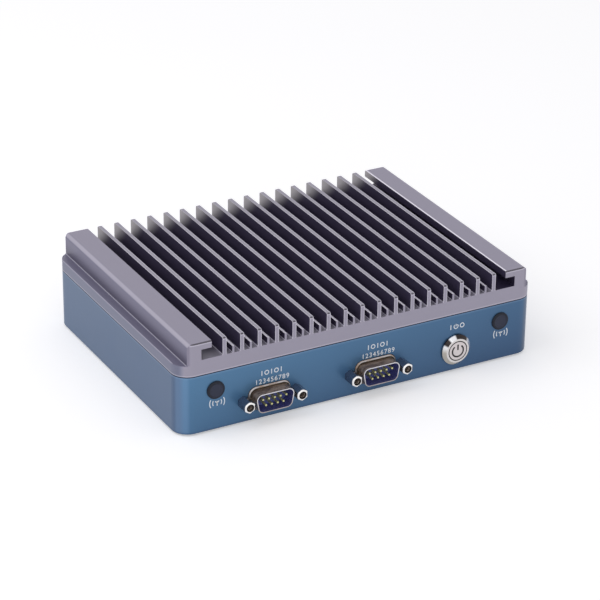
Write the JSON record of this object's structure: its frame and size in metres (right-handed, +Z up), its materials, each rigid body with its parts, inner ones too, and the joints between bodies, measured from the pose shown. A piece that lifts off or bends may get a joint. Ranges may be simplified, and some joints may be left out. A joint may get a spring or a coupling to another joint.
{
  "type": "fanless industrial computer",
  "caption": "Low blue housing with rounded corners under a finned grey lid with hooked side rails, serial connectors, power button and rear ports.",
  "frame": {"origin": "on the floor under the middle of the housing", "axes": "+X to the right along the front panel, +Y to the rear, +Z up"},
  "size_m": [0.174, 0.1376, 0.043],
  "materials": {
    "grey_anodised": "satin anodised, slightly violet grey",
    "blue_anodised": "fine satin blue anodised",
    "black_painted_steel": "matt black paint",
    "black_rubber": "matt",
    "black_screw_steel": "black oxide",
    "zinc_steel": "zinc plated",
    "bright_nickel": "bright nickel plated",
    "connector_nickel": "warm nickel plated sheet",
    "blue_plastic": "moulded, slightly glossy",
    "gold_plate": "gold plated",
    "polished_steel": "polished stainless steel",
    "satin_steel": "satin stainless steel",
    "black_plastic": "moulded",
    "brass": "turned",
    "green_board": "solder resist",
    "dark_chip": "moulded package",
    "grey_pad": "soft filled silicone",
    "bare_aluminium": "milled"
  },
  "bodies": {
    "housing": {"antenna_plug_left": "black_rubber", "antenna_plug_right": "black_rubber", "block_screws": "zinc_steel", "board_screws": "zinc_steel", "bottom_cover": "black_painted_steel", "button_contact_base": "black_plastic", "button_gasket": "black_rubber", "button_housing": "polished_steel", "button_nut": "bright_nickel", "chassis_frame": "blue_anodised", "coin_cell": "zinc_steel", "coin_cell_holder": "black_plastic", "cover_screws": "black_screw_steel", "data_port_a_shell": "connector_nickel", "data_port_a_tongues": "black_plastic", "data_port_b_shell": "connector_nickel", "data_port_b_tongues": "black_plastic", "foot_front_left": "black_rubber", "foot_front_right": "black_rubber", "foot_rear_left": "black_rubber", "foot_rear_right": "black_rubber", "heat_block": "bare_aluminium", "heatsink": "grey_anodised", "heatsink_screws": "zinc_steel", "mainboard": "green_board", "memory_module": "green_board", "memory_socket": "black_plastic", "mount_nuts": "zinc_steel", "network_port_a_contacts": "gold_plate", "network_port_a_shell": "connector_nickel", "network_port_b_contacts": "gold_plate", "network_port_b_shell": "connector_nickel", "power_jack": "black_plastic", "power_jack_nut": "bright_nickel", "power_jack_pin": "gold_plate", "processor": "dark_chip", "serial_left_insulator": "blue_plastic", "serial_left_jackscrews": "bright_nickel", "serial_left_pins": "gold_plate", "serial_left_shell": "connector_nickel", "serial_rear_insulator": "blue_plastic", "serial_rear_jackscrews": "bright_nickel", "serial_rear_pins": "gold_plate", "serial_rear_shell": "connector_nickel", "serial_right_insulator": "blue_plastic", "serial_right_jackscrews": "bright_nickel", "serial_right_pins": "gold_plate", "serial_right_shell": "connector_nickel", "standoffs": "brass", "storage_module": "green_board", "storage_socket": "black_plastic", "thermal_pad": "grey_pad", "video_port_a_shell": "connector_nickel", "video_port_a_tongue": "black_plastic", "video_port_b_shell": "connector_nickel", "video_port_b_tongue": "black_plastic", "wireless_module": "green_board", "wireless_socket": "black_plastic"},
    "power_button": {"button_cap": "satin_steel"}
  },
  "joints": [
    {"name": "power_button_press", "type": "slide", "parent": "housing", "child": "power_button", "axis": [0, 1, 0], "range_m": [0, 0.0015], "stiffness_N_per_m": 1500, "springref_m": -0.001}
  ]
}
